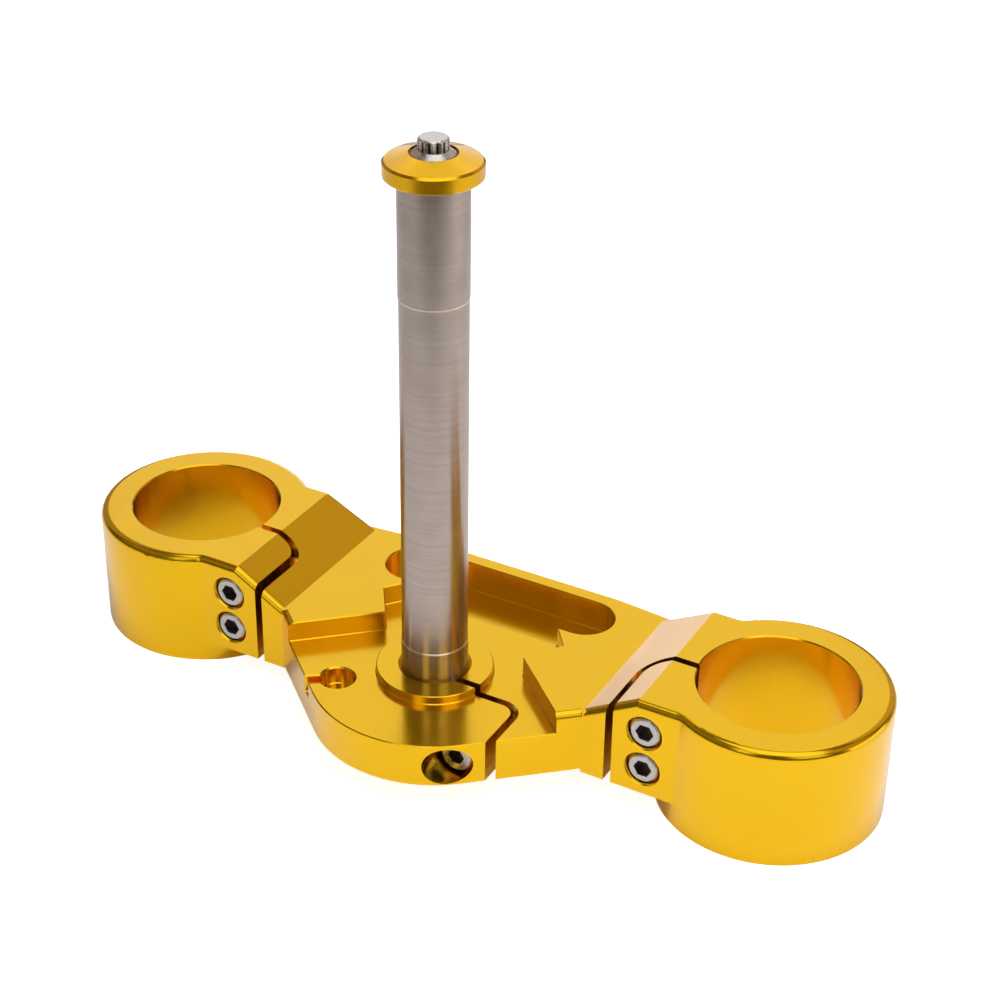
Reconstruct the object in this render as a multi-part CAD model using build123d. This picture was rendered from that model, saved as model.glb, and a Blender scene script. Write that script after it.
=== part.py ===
from build123d import *
import math
import os

# Lower triple clamp of a motorcycle, with its steering stem, the stem's top cap and all screws.
#
# The clamp is milled from one block of aluminium. A split ring at each end holds a fork tube,
# a round lobe pinches the steering stem, and a plate with a sunken pocket joins the three.
#
# Sizes are millimetres. The origin is on the steering axis, on the raised face that carries
# the lower steering bearing. +Z runs up the stem, +Y points from the stem to the line through
# both fork tubes, and +X points to the right-hand fork tube.

# Layout of the fork tubes and the stem
fork_spacing = 254.0
fork_offset = 30.5
fork_bore = 60.0
clamp_wall = 13.0
stem_diameter = 25.4

# Heights, each measured from its neighbour
clamp_above_seat = 17.3
plateau_below_clamp = 12.4
seat_above_floor = 3.5
back_pocket_below_floor = 4.4
plate_below_floor = 17.6
lug_below_plate = 1.4
clamp_height = 49.4

# Outline of the plate, seen from above
lobe_radius = 48.2
flank_angle = 41.5
lug_face_past_bore = 6.5
lug_back_past_bore = 2.4
plate_back_past_bore = 6.5
back_edge_half_width = 45.0
ramp_top_to_bore = 9.5
front_corner_radius = 6.0
back_corner_radius = 4.0

# Round seat for the lower bearing, and the bore that pinches the stem
seat_width = 9.7
stem_bore_chamfer = 1.3
stem_clearance = 0.05

# Sunken pocket round the stem, seen from above
pocket_mouth_half_width = 58.4
pocket_mouth_y = -11.9
pocket_neck_y = 13.8
bearing_room = 7.9
notch_past_neck = 9.8
notch_before_back_pocket = 9.5
finger_past_neck = 2.4

# Long pocket behind the stem, with round ends
back_pocket_length = 100.6
back_pocket_width = 23.6
back_wall = 5.7

# Saw cuts that let the clamps close
cut_width = 3.0
fork_cut_from_centre = 5.0
fork_cut_past_bore = 20.1
fork_cut_bend = 7.5
stem_cut_from_centre = 5.3
stem_cut_past_screw = 12.6
stem_cut_bend = 7.0

# Keyhole recess on the left of the lobe
keyhole_diameter = 13.5
keyhole_to_lobe_edge = 10.85
keyhole_angle = 217.8
keyhole_depth = 7.4
keyhole_neck_width = 5.0
keyhole_neck_angle = 216.0

# Steering stem
stem_relief = 0.25
lower_land_height = 12.0
upper_land_height = 44.3
stem_above_seat = 198.4
stem_wall = 4.2
stem_thread_depth = 34.0
stem_end_chamfer = 0.8

# Cap on top of the stem
cap_overhang = 4.8
cap_rim_height = 5.2
cap_bevel = 0.8
cap_cone_rise = 2.5
cap_recess_clearance = 0.85
cap_recess_depth = 2.1

# Top bolt, with a flange and a head of twelve points
top_bolt_thread = 9.5
top_bolt_length = 34.0
top_bolt_flange_width = 2.95
top_bolt_flange_height = 1.8
top_bolt_cone_rise = 1.4
top_bolt_across_flats = 9.5
top_bolt_head_height = 4.3
top_bolt_head_chamfer = 0.7
top_bolt_flute = 0.6
top_bolt_flute_depth = 0.35

# Fork pinch screws, two in each clamp
fork_screw_thread = 7.9
fork_screw_head = 11.9
fork_screw_head_height = 7.9
fork_screw_hex = 6.35
fork_screw_length = 38.0
fork_screw_past_bore = 6.0
fork_screw_pitch = 16.1
fork_screws_below_clamp = 20.9
fork_screw_recess = 0.4
fork_head_clearance = 0.8

# Stem pinch screw, deep in the lobe
stem_screw_thread = 8.0
stem_screw_head = 12.7
stem_screw_head_height = 8.0
stem_screw_hex = 6.0
stem_screw_length = 36.0
stem_screw_past_stem = 15.1
stem_screw_below_floor = 9.3
stem_screw_recess = 7.4
stem_head_clearance = 1.45

# Fits and edges shared by all screws
shank_clearance = 0.2
thread_clearance = 0.05
tap_run_out = 3.0
screw_edge = 0.6
socket_depth_share = 0.65

# Broken edges of the clamp, and what the milling cutter leaves at the foot of a wall
clamp_edge = 3.0
fork_bore_edge = 0.5
lobe_edge = 0.4
seat_edge = 0.3
pocket_edge = 0.4
keyhole_edge = 0.6
screw_mouth_edge = 0.5
pocket_foot = 0.35
neck_corner = 1.4
cap_foot_edge = 0.5

# How far a cutting shape runs past the block, and how near a picked edge has to be
beyond = 20.0
nearness = 0.5

# Places worked out from the sizes above
fork_x = fork_spacing / 2
fork_y = fork_offset
bore_radius = fork_bore / 2
clamp_radius = bore_radius + clamp_wall
stem_radius = stem_diameter / 2
seat_radius = stem_radius + seat_width
clamp_top = clamp_above_seat
clamp_bottom = clamp_top - clamp_height
plateau_top = clamp_top - plateau_below_clamp
floor_top = -seat_above_floor
back_pocket_floor = floor_top - back_pocket_below_floor
plate_bottom = floor_top - plate_below_floor
lug_bottom = plate_bottom - lug_below_plate
lug_face_to_fork_line = bore_radius + lug_face_past_bore
lug_back_to_fork_line = bore_radius + lug_back_past_bore
lug_face_y = fork_y - lug_face_to_fork_line
lug_back_y = fork_y + lug_back_to_fork_line
plate_back_y = fork_y + bore_radius + plate_back_past_bore
ramp_top_x = fork_x - bore_radius - ramp_top_to_bore
flank_sine = math.sin(math.radians(flank_angle))
flank_cosine = math.cos(math.radians(flank_angle))
lug_corner_x = (lobe_radius + flank_cosine * lug_face_y) / flank_sine
pocket_neck_x = seat_radius + bearing_room
back_pocket_y = plate_back_y - back_wall - back_pocket_width / 2
back_pocket_front_y = back_pocket_y - back_pocket_width / 2
fork_screw_x = fork_x - bore_radius - fork_screw_past_bore
fork_screws_z = clamp_top - fork_screws_below_clamp
fork_screw_seat_y = lug_face_y + fork_screw_recess + fork_screw_head_height
fork_cut_y = fork_y - fork_cut_from_centre
fork_cut_x = fork_x - bore_radius - fork_cut_past_bore
stem_screw_x = stem_radius + stem_screw_past_stem
stem_screw_z = floor_top - stem_screw_below_floor
lobe_face_y = -math.sqrt(lobe_radius**2 - stem_screw_x**2)
stem_screw_seat_y = lobe_face_y + stem_screw_recess + stem_screw_head_height
stem_cut_x = stem_screw_x + stem_cut_past_screw
stem_top = stem_above_seat
top_bolt_flange_radius = top_bolt_across_flats / 2 + top_bolt_flange_width
cap_shoulder = stem_top + cap_rim_height
cap_recess_floor = cap_shoulder + cap_bevel + cap_cone_rise - cap_recess_depth


def closed_face(points):
    """A flat face inside the straight lines that join the points."""
    return make_face(Polyline(points, close=True))


def both_sides(points):
    """Right-hand points, then their mirror images on the left, in going-round order."""
    return points + [(-x, y) for x, y in reversed(points)]


def between(sketch, bottom, top):
    """The sketch's shape as a solid from one height to another."""
    return Pos(0, 0, bottom) * extrude(sketch, top - bottom)


def turned(points):
    """Solid of revolution about the steering axis from its half section."""
    return revolve(Plane.XZ * closed_face(points), Axis.Z)


def ring_plan():
    """Plan of both fork rings, before they are bored."""
    ring = Circle(clamp_radius)
    return Pos(fork_x, fork_y) * ring + Pos(-fork_x, fork_y) * ring


def plate_plan():
    """Plan of the lobe, its straight flanks, the lugs and the rings."""
    right = [
        (lobe_radius * flank_sine, -lobe_radius * flank_cosine),
        (lug_corner_x, lug_face_y),
        (fork_x, lug_face_y),
        (fork_x, lug_back_y),
        (ramp_top_x, lug_back_y),
        (back_edge_half_width, plate_back_y),
    ]
    plan = closed_face(both_sides(right)) + Circle(lobe_radius) + ring_plan()
    plan = round_outer_corners(plan, -lug_face_to_fork_line, front_corner_radius)
    return round_outer_corners(plan, lug_back_to_fork_line, back_corner_radius)


def round_outer_corners(plan, line, radius):
    """Round the corners between the rings and a lug line this far behind the fork line."""
    reach = math.sqrt(clamp_radius**2 - line**2)
    corners = [
        vertex
        for vertex in plan.vertices()
        if abs(abs(vertex.X) - fork_x + reach) < nearness and abs(vertex.Y - fork_y - line) < nearness
    ]
    return fillet(corners, radius)


def valley():
    """Space above the plate, between the two ramps that rise to the clamps."""
    top = clamp_top + beyond
    slope = (ramp_top_x - lug_corner_x) / plateau_below_clamp
    top_half_width = ramp_top_x + slope * beyond
    section = both_sides([(lug_corner_x, plateau_top), (top_half_width, top)])
    length = 2 * (plate_back_y + lobe_radius)
    return extrude(Plane.XZ * closed_face(section), length / 2, both=True)


def is_clamp_edge(edge):
    """True for an edge round the top of the clamps and ramps, apart from creases."""
    box = edge.bounding_box()
    on_top = box.min.Z > plateau_top - nearness and box.max.Z > plateau_top + nearness
    upright_or_crease = box.size.X < nearness
    return on_top and not upright_or_crease


def is_lobe_edge(edge):
    """True for an edge of the lobe or its flanks at the height of the pocket's floor."""
    box = edge.bounding_box()
    middle = edge.center()
    at_floor = abs(box.min.Z - floor_top) < nearness and abs(box.max.Z - floor_top) < nearness
    from_axis = math.hypot(middle.X, middle.Y)
    return at_floor and middle.Y < lug_face_y and from_axis > lobe_radius - nearness


def flank_rounding():
    """What rounds the plateau's left-hand edge, from the lug's corner to inside the pocket."""
    corner = Pos(clamp_edge / 2, -clamp_edge / 2) * Rectangle(clamp_edge, clamp_edge)
    section = corner - Pos(clamp_edge, -clamp_edge) * Circle(clamp_edge)
    along = Plane(
        (-lug_corner_x, lug_face_y, plateau_top),
        x_dir=(flank_sine, flank_cosine, 0),
        z_dir=(flank_cosine, -flank_sine, 0),
    )
    return extrude(along * section, 4 * clamp_edge)


def milled_blank():
    """The block with its outline, ramps and rings, rounded on its left half and then mirrored."""
    blank = between(plate_plan(), lug_bottom, clamp_top) + between(ring_plan(), clamp_bottom, clamp_top)
    under_plate = Box(2 * lug_corner_x, 4 * plate_back_y, lug_below_plate)
    blank -= Pos(0, 0, lug_bottom + lug_below_plate / 2) * under_plate
    blank -= valley()
    half = split(blank, Plane.YZ, keep=Keep.BOTTOM)
    half = fillet(half.edges().filter_by(is_clamp_edge), clamp_edge)
    half -= flank_rounding()
    return half + mirror(half, Plane.YZ)


def sunk(plan, floor, rim, edge):
    """Space of a pocket, with the foot of its walls and its rim at 45 degrees."""
    space = between(plan, floor, clamp_top + edge)
    space = chamfer(space.edges().group_by(Axis.Z)[0], pocket_foot)
    return space + Pos(0, 0, rim - edge) * extrude(plan, 2 * edge, taper=-45)


def stem_pocket():
    """Sunken floor round the stem, open towards the lobe, with a notch on each side."""
    run = pocket_mouth_half_width - pocket_neck_x
    rise = pocket_mouth_y - pocket_neck_y
    out_x = pocket_mouth_half_width + run
    out_y = pocket_mouth_y + rise
    right = [
        (out_x, -2 * lobe_radius),
        (out_x, out_y),
        (pocket_neck_x, pocket_neck_y),
        (pocket_neck_x + notch_past_neck, back_pocket_front_y - notch_before_back_pocket),
        (pocket_neck_x + finger_past_neck, back_pocket_front_y),
        (pocket_neck_x + finger_past_neck, back_pocket_y),
    ]
    plan = closed_face(both_sides(right))
    necks = [vertex for vertex in plan.vertices() if abs(vertex.Y - pocket_neck_y) < nearness]
    return sunk(fillet(necks, neck_corner), floor_top, plateau_top, pocket_edge)


def back_pocket():
    """Long pocket behind the stem."""
    plan = Pos(0, back_pocket_y) * SlotOverall(back_pocket_length, back_pocket_width)
    return sunk(plan, back_pocket_floor, plateau_top, pocket_edge)


def keyhole():
    """Round recess in the lobe's left shoulder, with a neck that opens in the flank."""
    neck = Pos(beyond / 2, 0) * Rectangle(beyond, keyhole_neck_width)
    plan = Circle(keyhole_diameter / 2) + Rot(0, 0, keyhole_neck_angle) * neck
    from_axis = lobe_radius - keyhole_to_lobe_edge
    angle = math.radians(keyhole_angle)
    place = Pos(from_axis * math.cos(angle), from_axis * math.sin(angle))
    return sunk(place * plan, floor_top - keyhole_depth, floor_top, keyhole_edge)


def bearing_seat():
    """Raised ring round the stem, with its foot and its top edge at 45 degrees."""
    return turned([
        (0, floor_top - nearness),
        (seat_radius + pocket_foot, floor_top - nearness),
        (seat_radius + pocket_foot, floor_top),
        (seat_radius, floor_top + pocket_foot),
        (seat_radius, -seat_edge),
        (seat_radius - seat_edge, 0),
        (0, 0),
    ])


def saw_cut(points, bend):
    """Upright cut along a bent path, through the whole height."""
    plan = trace(FilletPolyline(*points, radius=bend), line_width=cut_width)
    return between(plan, clamp_bottom - beyond, clamp_top + beyond)


def fork_cut():
    """Cut of the right-hand clamp, from its bore sideways and out through the lug's face."""
    path = [(fork_x, fork_cut_y), (fork_cut_x, fork_cut_y), (fork_cut_x, lug_face_y - beyond)]
    return saw_cut(path, fork_cut_bend)


def stem_cut():
    """Cut of the stem clamp, from its bore to the right and out through the lobe's edge."""
    cut_y = -stem_cut_from_centre
    return saw_cut([(0, cut_y), (stem_cut_x, cut_y), (stem_cut_x, -2 * lobe_radius)], stem_cut_bend)


def bore(x, y, radius, bottom, top, edge):
    """Upright bore through the block, with both its edges broken at 45 degrees."""
    section = turned([
        (0, bottom - edge),
        (radius + 2 * edge, bottom - edge),
        (radius, bottom + edge),
        (radius, top - edge),
        (radius + 2 * edge, top + edge),
        (0, top + edge),
    ])
    return Pos(x, y, 0) * section


def screw_hole(shank, head_hole, seat_y, mouth_y, cut_y, tip_y):
    """Hole along +Y for a screw: counterbore, clearance up to the cut, then the thread."""
    along = Rot(-90, 0, 0)
    steps = (
        (head_hole, mouth_y, seat_y),
        (shank + shank_clearance, seat_y, cut_y),
        (shank + thread_clearance, cut_y, tip_y + tap_run_out),
    )
    hole = Part()
    for radius, start, end in steps:
        hole += Pos(0, (start + end) / 2, 0) * along * Cylinder(radius, end - start)
    return hole


def fork_screw_places():
    """Upper and lower screw of the right-hand clamp: x and z."""
    return [(fork_screw_x, fork_screws_z + side * fork_screw_pitch / 2) for side in (1, -1)]


def fork_screw_hole():
    """Hole of one fork pinch screw, at x = z = 0."""
    head_hole = fork_screw_head / 2 + fork_head_clearance
    tip_y = fork_screw_seat_y + fork_screw_length
    hole = screw_hole(
        fork_screw_thread / 2, head_hole, fork_screw_seat_y, lug_face_y - beyond, fork_cut_y, tip_y
    )
    edge = 2 * screw_mouth_edge
    mouth = Cone(head_hole + edge, head_hole, edge * 2)
    return hole + Pos(0, lug_face_y, 0) * Rot(-90, 0, 0) * mouth


def stem_screw_hole():
    """Hole of the stem pinch screw, at its place in the lobe."""
    head_hole = stem_screw_head / 2 + stem_head_clearance
    mouth_y = -lobe_radius - beyond
    cut_y = -stem_cut_from_centre
    tip_y = stem_screw_seat_y + stem_screw_length
    hole = screw_hole(stem_screw_thread / 2, head_hole, stem_screw_seat_y, mouth_y, cut_y, tip_y)
    return Pos(stem_screw_x, 0, stem_screw_z) * hole


def lower_yoke():
    """The one-piece clamp with all its pockets, bores, cuts and screw holes."""
    yoke = milled_blank()
    yoke -= stem_pocket()
    yoke = chamfer(yoke.edges().filter_by(is_lobe_edge), lobe_edge)
    yoke -= back_pocket()
    yoke += bearing_seat()
    yoke -= keyhole()
    yoke -= bore(0, 0, stem_radius + stem_clearance, plate_bottom, 0, stem_bore_chamfer)
    yoke -= stem_cut()
    yoke -= stem_screw_hole()
    right = bore(fork_x, fork_y, bore_radius, clamp_bottom, clamp_top, fork_bore_edge) + fork_cut()
    for x, z in fork_screw_places():
        right += Pos(x, 0, z) * fork_screw_hole()
    yoke -= right
    yoke -= mirror(right, Plane.YZ)
    return yoke


def steering_stem():
    """Tube with a ground land at each end, a relieved middle and a thread in its top."""
    middle = stem_radius - stem_relief
    inside = stem_radius - stem_wall
    thread = top_bolt_thread / 2 + thread_clearance
    upper_land = stem_top - upper_land_height
    solid_from = stem_top - stem_thread_depth
    edge = stem_end_chamfer
    return turned([
        (inside, plate_bottom),
        (stem_radius - edge, plate_bottom),
        (stem_radius, plate_bottom + edge),
        (stem_radius, lower_land_height),
        (middle, lower_land_height + stem_relief),
        (middle, upper_land - stem_relief),
        (stem_radius, upper_land),
        (stem_radius, stem_top - edge),
        (stem_radius - edge, stem_top),
        (thread, stem_top),
        (thread, solid_from),
        (inside, solid_from - (inside - thread)),
    ])


def stem_top_cap():
    """Disc with a coned top and a recess for the bolt's flange."""
    rim = stem_radius + cap_overhang
    recess = top_bolt_flange_radius + cap_recess_clearance
    hole = top_bolt_thread / 2 + shank_clearance
    return turned([
        (hole, stem_top),
        (rim - cap_foot_edge, stem_top),
        (rim, stem_top + cap_foot_edge),
        (rim, cap_shoulder),
        (rim - cap_bevel, cap_shoulder + cap_bevel),
        (recess, cap_shoulder + cap_bevel + cap_cone_rise),
        (recess, cap_recess_floor),
        (hole, cap_recess_floor),
    ])


def stem_top_bolt():
    """Flange bolt whose head is two hexagons, a twelfth of a turn apart."""
    shank = top_bolt_thread / 2
    flange = top_bolt_flange_radius
    half_flats = top_bolt_across_flats / 2
    points = half_flats / math.cos(math.radians(30))
    cone_foot = cap_recess_floor + top_bolt_flange_height
    head_foot = cone_foot + top_bolt_cone_rise
    head_top = head_foot + top_bolt_head_height
    tip = cap_recess_floor - top_bolt_length
    bolt = turned([
        (0, tip),
        (shank - screw_edge, tip),
        (shank, tip + screw_edge),
        (shank, cap_recess_floor),
        (flange, cap_recess_floor),
        (flange, cone_foot),
        (points, head_foot),
        (0, head_foot),
    ])
    hexagon = RegularPolygon(half_flats, 6, major_radius=False)
    star = between(hexagon + Rot(0, 0, 30) * hexagon, head_foot, head_top)
    crown = turned([
        (0, head_foot),
        (points, head_foot),
        (points, head_top - top_bolt_head_chamfer),
        (points - top_bolt_head_chamfer, head_top),
        (0, head_top),
    ])
    head = star & crown
    flute = Pos(points + top_bolt_flute - top_bolt_flute_depth, 0, (head_foot + head_top) / 2)
    flute *= Cylinder(top_bolt_flute, 2 * top_bolt_head_height)
    for turn in range(12):
        head -= Rot(0, 0, 30 * turn + 15) * flute
    return bolt + head


def socket_screw(thread, head, head_height, hex_size, length):
    """Socket head screw along +Y with its seat at y = 0."""
    shank = thread / 2
    rim = head / 2
    section = closed_face([
        (0, -head_height),
        (rim - screw_edge, -head_height),
        (rim, -head_height + screw_edge),
        (rim, 0),
        (shank, 0),
        (shank, length),
        (0, length),
    ])
    hexagon = RegularPolygon(hex_size / 2, 6, major_radius=False)
    socket = Rot(-90, 0, 0) * extrude(hexagon, head_height * socket_depth_share)
    return revolve(section, Axis.Y) - Pos(0, -head_height, 0) * socket


def fork_screw():
    """One fork pinch screw at its seat's depth, at x = z = 0."""
    screw = socket_screw(
        fork_screw_thread, fork_screw_head, fork_screw_head_height, fork_screw_hex, fork_screw_length
    )
    return Pos(0, fork_screw_seat_y, 0) * screw


def stem_pinch_screw():
    """The screw that closes the lobe on the stem."""
    screw = socket_screw(
        stem_screw_thread, stem_screw_head, stem_screw_head_height, stem_screw_hex, stem_screw_length
    )
    return Pos(stem_screw_x, stem_screw_seat_y, stem_screw_z) * screw


def all_parts():
    """Each separate piece by its name."""
    parts = {
        "lower_yoke": lower_yoke(),
        "steering_stem": steering_stem(),
        "stem_top_cap": stem_top_cap(),
        "stem_top_bolt": stem_top_bolt(),
        "stem_pinch_screw": stem_pinch_screw(),
    }
    for side, sign in (("right", 1), ("left", -1)):
        for level, (x, z) in zip(("upper", "lower"), fork_screw_places()):
            parts[f"{side}_{level}_fork_screw"] = Pos(sign * x, 0, z) * fork_screw()
    return parts


os.makedirs("parts", exist_ok=True)
for name, part in all_parts().items():
    export_step(part, f"parts/{name}.step")
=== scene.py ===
import bpy
from math import cos, pi, radians, sin
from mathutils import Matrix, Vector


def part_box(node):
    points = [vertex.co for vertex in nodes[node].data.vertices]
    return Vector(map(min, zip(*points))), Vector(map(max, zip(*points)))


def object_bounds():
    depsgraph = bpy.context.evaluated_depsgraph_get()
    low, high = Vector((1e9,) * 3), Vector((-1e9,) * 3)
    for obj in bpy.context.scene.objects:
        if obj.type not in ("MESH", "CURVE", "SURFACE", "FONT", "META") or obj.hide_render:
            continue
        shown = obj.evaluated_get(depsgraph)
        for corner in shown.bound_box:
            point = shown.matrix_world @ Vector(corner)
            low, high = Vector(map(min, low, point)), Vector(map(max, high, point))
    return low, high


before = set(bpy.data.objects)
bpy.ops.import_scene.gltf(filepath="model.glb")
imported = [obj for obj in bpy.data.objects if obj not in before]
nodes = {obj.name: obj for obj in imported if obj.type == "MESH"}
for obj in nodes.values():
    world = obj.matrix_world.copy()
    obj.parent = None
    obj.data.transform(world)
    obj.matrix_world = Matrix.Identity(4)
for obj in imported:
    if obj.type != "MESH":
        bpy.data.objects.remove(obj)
cad_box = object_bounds()

# Lengths are in metres, and a pattern's scale is 1000 over its size in millimetres.
# The clamp's underside stands on the paper.
FLOOR_Z = cad_box[0][2]
# The camera looks from the clamp's front right, turned this far from the Y axis.
VIEW_HEADING = radians(29.085)
PAPER_WIDTH = 6
# The paper's front edge, from the steering axis along the camera's heading.
PAPER_FRONT = -0.42
# What the paper's own glow adds to the lamps' light, as the camera and as the metal see it.
PAPER_TO_CAMERA = 0.85
PAPER_TO_METAL = 0.08
WARM_WHITE = "#FFE6CF"

# Heights where the stem's ground lands step down to its thinner middle, and the painted highlight line
# drawn there.
LAND_EDGES = (0.0120, 0.1541)
LAND_HIGHLIGHT_HALF = 0.00035
# The screws' sockets, and the depths below the head's face where the painted shade in them starts and is
# full.
SOCKET_RADIUS = 0.0037
SOCKET_SHADE_START = 0.0002
SOCKET_SHADE_FULL = 0.0012
# The top bolt's flutes: their number, how far their middle is below the head's top, and half their height.
FLUTES = 12
FLUTES_BELOW_TOP = 0.0025
FLUTES_HALF_HEIGHT = 0.0018

# Most of a noise's values lie between these two.
NOISE_LOW = 0.3
NOISE_HIGH = 0.7
BUMP_DEPTH = 0.00004
# A Mix node's colours are its inputs 6 and 7, and its mixed colour is its output 2.
MIX_A = 6
MIX_B = 7
MIXED = 2


# Colours and nodes

def linear(hex_colour):
    """Turns an sRGB hex value to the linear colour that Blender's sockets take."""
    channels = [int(hex_colour[i:i + 2], 16) / 255 for i in (1, 3, 5)]
    return [c / 12.92 if c <= 0.04045 else ((c + 0.055) / 1.055) ** 2.4 for c in channels] + [1.0]


def add(tree, kind, links=None, **settings):
    """Adds a node, sets its properties and its inputs' values, and links its inputs."""
    node = tree.nodes.new(kind)
    inputs = settings.pop("inputs", {})
    for name, value in settings.items():
        setattr(node, name, value)
    for name, value in inputs.items():
        node.inputs[name].default_value = value
    for name, source in (links or {}).items():
        tree.links.new(source, node.inputs[name])
    return node


def new_material(name):
    """Makes an empty node material and gives it with its tree."""
    material = bpy.data.materials.new(name)
    material.use_nodes = True
    material.node_tree.nodes.clear()
    return material, material.node_tree


# Metals

def gold_anodised_aluminium(name, hex_colour, roughness, mark_mm):
    """Milled aluminium, dyed gold and sealed. The clear anodic film turns pale where it is seen
    at a low angle, and the dye is deep where light bounces twice."""
    material, tree = new_material(name)
    place = add(tree, "ShaderNodeTexCoord").outputs["Object"]
    # Real mill marks are a tenth of a millimetre apart: these are mark_mm apart, to show at all.
    grain = add(tree, "ShaderNodeTexNoise", {"Vector": place},
                inputs={"Scale": 1000 / mark_mm, "Detail": 3.0, "Roughness": 0.6})
    # Etching and sealing leave soft clouds, about 22 mm across, that are a little shinier or duller.
    cloud = add(tree, "ShaderNodeTexNoise", {"Vector": place},
                inputs={"Scale": 1000 / 22, "Detail": 2.0})
    rough = add(tree, "ShaderNodeMapRange", {"Value": cloud.outputs["Fac"]},
                inputs={"From Min": NOISE_LOW, "From Max": NOISE_HIGH,
                        "To Min": roughness * 0.85, "To Max": roughness * 1.2})
    bump = add(tree, "ShaderNodeBump", {"Height": grain.outputs["Fac"]},
               inputs={"Strength": 0.05, "Distance": BUMP_DEPTH})
    shader = add(tree, "ShaderNodeBsdfPrincipled",
                 {"Roughness": rough.outputs["Result"], "Normal": bump.outputs["Normal"]},
                 inputs={"Base Color": linear(hex_colour), "Metallic": 1.0,
                         "Coat Weight": 1.0, "Coat Roughness": 0.08, "Coat IOR": 1.25,
                         "Specular Tint": linear("#FFF8E6")})
    add(tree, "ShaderNodeOutputMaterial", {"Surface": shader.outputs["BSDF"]})
    return material


def turned_steel(name, hex_colour, roughness, land_edges):
    """Steel turned on a lathe and left bare: a soft, warm grey. The fine grooves run round it, so
    reflections stay narrow across the tube and are drawn out along it. Handling has left faint
    stains, and the edge of each ground land has a bright line of painted highlight."""
    material, tree = new_material(name)
    place = add(tree, "ShaderNodeTexCoord").outputs["Object"]
    # Real grooves are a tenth of a millimetre apart: these are 1.6 mm, to show at all. Across the
    # tube, the pattern changes over 125 mm, so each groove keeps nearly one shade all round.
    rings = add(tree, "ShaderNodeMapping", {"Vector": place},
                inputs={"Scale": (1000 / 125, 1000 / 125, 1000 / 1.6)})
    ring_noise = add(tree, "ShaderNodeTexNoise", {"Vector": rings.outputs["Vector"]},
                     inputs={"Scale": 1.0, "Detail": 1.5})
    stain = add(tree, "ShaderNodeTexNoise", {"Vector": place},
                inputs={"Scale": 1000 / 11, "Detail": 3.0, "Roughness": 0.55})
    rough = add(tree, "ShaderNodeMapRange", {"Value": stain.outputs["Fac"]},
                inputs={"From Min": NOISE_LOW, "From Max": NOISE_HIGH,
                        "To Min": roughness * 0.97, "To Max": roughness * 1.05})
    both = add(tree, "ShaderNodeMath", {0: ring_noise.outputs["Fac"], 1: stain.outputs["Fac"]},
               operation="ADD")
    mean = add(tree, "ShaderNodeMath", {0: both.outputs[0]}, operation="MULTIPLY",
               inputs={1: 0.5})
    shade = add(tree, "ShaderNodeValToRGB", {"Fac": mean.outputs[0]})
    stained, clean = shade.color_ramp.elements
    stained.position = 0.36
    stained.color = linear("#AFA29B")
    clean.position = 0.62
    clean.color = linear(hex_colour)
    height = add(tree, "ShaderNodeSeparateXYZ", {"Vector": place}).outputs["Z"]
    colour = shade.outputs["Color"]
    # Painted highlight: a bright line in the colour at each land's edge.
    for edge in land_edges:
        line = add(tree, "ShaderNodeMath", {0: height}, operation="COMPARE",
                   inputs={1: edge, 2: LAND_HIGHLIGHT_HALF})
        colour = add(tree, "ShaderNodeMix", {"Factor": line.outputs[0], MIX_A: colour},
                     data_type="RGBA", inputs={MIX_B: linear("#EFE2D6")}).outputs[MIXED]
    round_tube = add(tree, "ShaderNodeTangent", direction_type="RADIAL", axis="Z")
    shader = add(tree, "ShaderNodeBsdfPrincipled",
                 {"Base Color": colour, "Roughness": rough.outputs["Result"],
                  "Tangent": round_tube.outputs["Tangent"]},
                 inputs={"Metallic": 1.0, "Anisotropic": 0.7, "Anisotropic Rotation": 0.25})
    add(tree, "ShaderNodeOutputMaterial", {"Surface": shader.outputs["BSDF"]})
    return material


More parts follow.
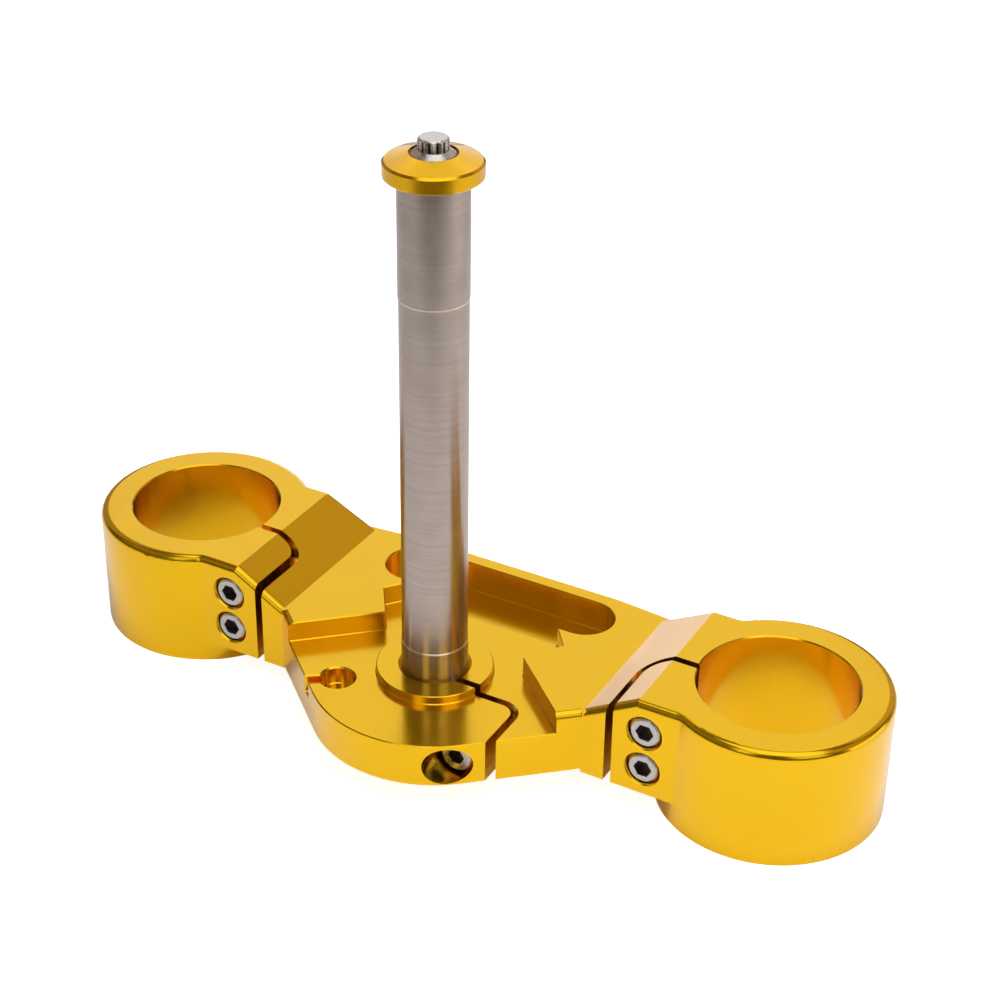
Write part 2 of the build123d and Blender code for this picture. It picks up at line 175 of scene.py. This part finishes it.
def plated_steel(name, hex_colour, roughness, head_face):
    """Steel screw with a zinc plating, slightly matte from the plating's fine crystals. Its socket
    is painted darker, as painted shade. The screw runs along Y from the middle of its head's face."""
    material, tree = new_material(name)
    place = add(tree, "ShaderNodeTexCoord").outputs["Object"]
    from_face = add(tree, "ShaderNodeMapping", {"Vector": place},
                    inputs={"Location": [-distance for distance in head_face]})
    along = add(tree, "ShaderNodeSeparateXYZ", {"Vector": from_face.outputs["Vector"]})
    across = add(tree, "ShaderNodeCombineXYZ", {"X": along.outputs["X"], "Z": along.outputs["Z"]})
    from_axis = add(tree, "ShaderNodeVectorMath", {0: across.outputs["Vector"]},
                    operation="LENGTH")
    near_axis = add(tree, "ShaderNodeMath", {0: from_axis.outputs["Value"]},
                    operation="LESS_THAN", inputs={1: SOCKET_RADIUS})
    sunk = add(tree, "ShaderNodeMapRange", {"Value": along.outputs["Y"]},
               inputs={"From Min": SOCKET_SHADE_START, "From Max": SOCKET_SHADE_FULL})
    # Painted shade: the colour darkens inside the socket, deeper down.
    painted_socket_shade = add(tree, "ShaderNodeMath", {0: near_axis.outputs[0], 1: sunk.outputs["Result"]},
                    operation="MULTIPLY")
    # The plating's crystals are far finer: these are 0.7 mm, to show at all.
    grain = add(tree, "ShaderNodeTexNoise", {"Vector": place},
                inputs={"Scale": 1000 / 0.7, "Detail": 2.0})
    rough = add(tree, "ShaderNodeMapRange", {"Value": grain.outputs["Fac"]},
                inputs={"From Min": NOISE_LOW, "From Max": NOISE_HIGH,
                        "To Min": roughness * 0.8, "To Max": roughness * 1.3})
    bump = add(tree, "ShaderNodeBump", {"Height": grain.outputs["Fac"]},
               inputs={"Strength": 0.2, "Distance": BUMP_DEPTH})
    # The socket's darker colour is painted shade.
    colour = add(tree, "ShaderNodeMix", {"Factor": painted_socket_shade.outputs[0]}, data_type="RGBA",
                 inputs={MIX_A: linear(hex_colour), MIX_B: linear("#8C8682")})
    shader = add(tree, "ShaderNodeBsdfPrincipled",
                 {"Base Color": colour.outputs[MIXED], "Roughness": rough.outputs["Result"],
                  "Normal": bump.outputs["Normal"]}, inputs={"Metallic": 1.0})
    add(tree, "ShaderNodeOutputMaterial", {"Surface": shader.outputs["BSDF"]})
    return material


def fluted_bolt_steel(name, hex_colour, roughness, head_top):
    """Cold-headed steel bolt, left bright. Painted shade darkens the flutes of its head, the first
    of which lies 15 degrees from the X axis."""
    material, tree = new_material(name)
    place = add(tree, "ShaderNodeTexCoord").outputs["Object"]
    axes = add(tree, "ShaderNodeSeparateXYZ", {"Vector": place})
    turn = add(tree, "ShaderNodeMath", {0: axes.outputs["Y"], 1: axes.outputs["X"]},
               operation="ARCTAN2")
    # One wave for each flute, with its crest in the flute.
    waves = add(tree, "ShaderNodeMath", {0: turn.outputs[0]}, operation="MULTIPLY_ADD",
                inputs={1: FLUTES, 2: pi})
    crest = add(tree, "ShaderNodeMath", {0: waves.outputs[0]}, operation="COSINE")
    flute = add(tree, "ShaderNodeMapRange", {"Value": crest.outputs[0]},
                inputs={"From Min": -0.1, "From Max": 0.9})
    flank = add(tree, "ShaderNodeMath", {0: axes.outputs["Z"]}, operation="COMPARE",
                inputs={1: head_top - FLUTES_BELOW_TOP, 2: FLUTES_HALF_HEIGHT})
    # Painted shade: the flutes on the head's flank are made darker.
    painted_flute_shade = add(tree, "ShaderNodeMath", {0: flute.outputs["Result"], 1: flank.outputs[0]},
                operation="MULTIPLY")
    colour = add(tree, "ShaderNodeMix", {"Factor": painted_flute_shade.outputs[0]}, data_type="RGBA",
                 inputs={MIX_A: linear(hex_colour), MIX_B: linear("#2E2926")})
    # The steel's own skin is far finer: this is 0.9 mm, to show at all.
    grain = add(tree, "ShaderNodeTexNoise", {"Vector": place},
                inputs={"Scale": 1000 / 0.9, "Detail": 2.0})
    rough = add(tree, "ShaderNodeMapRange", {"Value": grain.outputs["Fac"]},
                inputs={"From Min": NOISE_LOW, "From Max": NOISE_HIGH,
                        "To Min": roughness * 0.8, "To Max": roughness * 1.3})
    shader = add(tree, "ShaderNodeBsdfPrincipled",
                 {"Base Color": colour.outputs[MIXED], "Roughness": rough.outputs["Result"]},
                 inputs={"Metallic": 1.0})
    add(tree, "ShaderNodeOutputMaterial", {"Surface": shader.outputs["BSDF"]})
    return material


clamp_gold = gold_anodised_aluminium("gold_anodised_aluminium_satin", "#F9C508", 0.20, 0.8)
cap_gold = gold_anodised_aluminium("gold_anodised_aluminium_polished", "#FBC30A", 0.22, 0.6)
stem_steel = turned_steel("turned_stem_steel", "#BDB1AB", 0.25, LAND_EDGES)
bolt_steel = fluted_bolt_steel("bright_bolt_steel", "#DEDAD8", 0.27,
                               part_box("stem_top_bolt")[1][2])

finishes = {"lower_yoke": clamp_gold, "stem_top_cap": cap_gold, "steering_stem": stem_steel,
            "stem_top_bolt": bolt_steel}
# The other nodes are the screws. Each has its own steel, because the painted shade in its socket follows
# its place.
for name, node in nodes.items():
    if name not in finishes:
        low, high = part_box(name)
        head_face = ((low[0] + high[0]) / 2, low[1], (low[2] + high[2]) / 2)
        finishes[name] = plated_steel("zinc_plated_steel_" + name, "#C6C2C0", 0.30, head_face)
    for material_slot in node.material_slots:
        material_slot.material = finishes[name]


# Stage: white paper and soft boxes, placed round the camera's line of sight

def white_paper():
    """Matte white paper. The camera sees it as plain white, also through glass, and the metal a
    little lighter than the lamps alone make it."""
    material, tree = new_material("white_studio_paper")
    matte = add(tree, "ShaderNodeBsdfDiffuse", inputs={"Color": linear("#EDEDED")})
    path = add(tree, "ShaderNodeLightPath")
    seen = add(tree, "ShaderNodeMath", {0: path.outputs["Is Camera Ray"],
                                        1: path.outputs["Is Transmission Ray"]},
               operation="MAXIMUM")
    for_metal = add(tree, "ShaderNodeMath", {0: path.outputs["Is Glossy Ray"]},
                    operation="MULTIPLY", inputs={1: PAPER_TO_METAL})
    lift = add(tree, "ShaderNodeMath", {0: seen.outputs[0], 2: for_metal.outputs[0]},
               operation="MULTIPLY_ADD", inputs={1: PAPER_TO_CAMERA})
    glow = add(tree, "ShaderNodeEmission", {"Strength": lift.outputs[0]})
    lit = add(tree, "ShaderNodeAddShader", {0: matte.outputs["BSDF"], 1: glow.outputs["Emission"]})
    add(tree, "ShaderNodeOutputMaterial", {"Surface": lit.outputs["Shader"]})
    return material


def soft_box(name, right_of_view, elevation, distance, width, height, level, aim=(0, 0.02, 0),
             hex_colour="#FFFFFF"):
    """An area lamp that faces the clamp. Straight behind the clamp, as the camera sees it, is 0
    degrees, and 90 is at the right. Its level is what a mirror would show, where 1 is white."""
    heading = VIEW_HEADING - radians(right_of_view)
    tilt = radians(elevation)
    lamp = bpy.data.lights.new(name, "AREA")
    lamp.shape = "RECTANGLE"
    lamp.size, lamp.size_y = width, height
    lamp.energy = level * pi * width * height
    lamp.color = linear(hex_colour)[:3]
    piece = bpy.data.objects.new(name, lamp)
    bpy.context.scene.collection.objects.link(piece)
    flat = distance * cos(tilt)
    piece.location = (aim[0] - flat * sin(heading), aim[1] + flat * cos(heading),
                      aim[2] + distance * sin(tilt))
    piece.rotation_euler = (tilt - radians(90), 0, heading)
    piece.visible_camera = False
    return piece


# The paper ends less than half a metre in front, so the stem and the cap show a dark band there.
bpy.ops.object.select_all(action="DESELECT")
bpy.ops.mesh.primitive_plane_add(size=PAPER_WIDTH, location=(0, 0, 0),
                                 rotation=(0, 0, VIEW_HEADING))
bpy.ops.object.transform_apply(location=True, rotation=True, scale=True)
paper = bpy.context.object
paper.name = "studio_paper"
for vertex in paper.data.vertices:
    ahead = vertex.co.y * cos(VIEW_HEADING) - vertex.co.x * sin(VIEW_HEADING)
    if ahead < 0:
        vertex.co.x -= (PAPER_FRONT - ahead) * sin(VIEW_HEADING)
        vertex.co.y += (PAPER_FRONT - ahead) * cos(VIEW_HEADING)
    vertex.co.z = FLOOR_Z
paper.data.materials.append(white_paper())

# Each box has its name, degrees to the right, degrees up, distance, width, height and level.
# Behind: the large box shows in the flat tops and the cap's cone, the low one in the right ramp,
# and the dim ones in the left ramp and along the rings' rounded edges.
soft_box("back_box", 1, 35, 1.5, 0.98, 1.95, 0.78)
soft_box("low_back_box", -7, 2, 0.6, 0.36, 0.09, 1.92, aim=(0, 0, 0), hex_colour="#929DFF")
soft_box("back_left_box", -42, 30, 1.5, 1.0, 1.4, 0.22, hex_colour=WARM_WHITE)
soft_box("back_right_box", 45, 30, 1.5, 1.0, 1.4, 0.40, hex_colour=WARM_WHITE)
# Above and beside: the top one shows in the front edges and lights the walls and the bores, the
# left one shows in the pocket's wall right of the stem, and the right ones along the stem.
soft_box("top_box", 160, 74, 1.1, 1.00, 1.00, 1.15)
soft_box("left_box", -104, 38, 1.4, 1.1, 0.7, 0.15, hex_colour=WARM_WHITE)
soft_box("right_box", 98, 10, 1.4, 1.1, 0.62, 1.10, hex_colour="#FFF6F0")
soft_box("right_side_box", 106, 40, 1.4, 0.9, 0.6, 0.30, hex_colour=WARM_WHITE)
# In front, on both sides of the camera: the walls of the pocket's left half, and the stem's foot.
soft_box("left_front_box", -150, 32, 1.3, 0.38, 0.9, 0.84)
soft_box("right_front_box", 150, 32, 1.3, 0.60, 0.9, 0.74)
# The last one lights the paper, which the upright walls show, and doesn't show in the metal itself.
paper_lamp = soft_box("paper_lamp", 140, 77, 0.75, 0.3, 0.3, 10.6, aim=(0.02, -0.01, 0))
paper_lamp.visible_glossy = False

# The air beyond the paper is white to the camera, and a warm grey to all else.
world = bpy.data.worlds.new("studio_air")
bpy.context.scene.world = world
world.use_nodes = True
world.node_tree.nodes.clear()
tree = world.node_tree
path = add(tree, "ShaderNodeLightPath")
white = add(tree, "ShaderNodeBackground", inputs={"Color": linear("#FFFFFF")})
grey = add(tree, "ShaderNodeBackground", inputs={"Color": linear("#5E564E")})
seen = add(tree, "ShaderNodeMath", {0: path.outputs["Is Camera Ray"],
                                    1: path.outputs["Is Transmission Ray"]}, operation="MAXIMUM")
air = add(tree, "ShaderNodeMixShader", {0: seen.outputs[0], 1: grey.outputs["Background"],
                                        2: white.outputs["Background"]})
add(tree, "ShaderNodeOutputWorld", {"Surface": air.outputs["Shader"]})

# Camera, at the photograph's viewing angle, with its place, turn and lens solved from the two rings

camera = bpy.data.objects.new("photograph_camera", bpy.data.cameras.new("photograph_camera"))
bpy.context.scene.collection.objects.link(camera)
camera.location = (0.34351, -0.57955, 0.47708)
camera.rotation_euler = (radians(59.000), radians(-0.757), VIEW_HEADING)
camera.data.lens = 77.74
camera.data.sensor_width = 36.0
camera.data.clip_start = 0.01
bpy.context.scene.camera = camera
bpy.context.scene.view_settings.view_transform = "Standard"
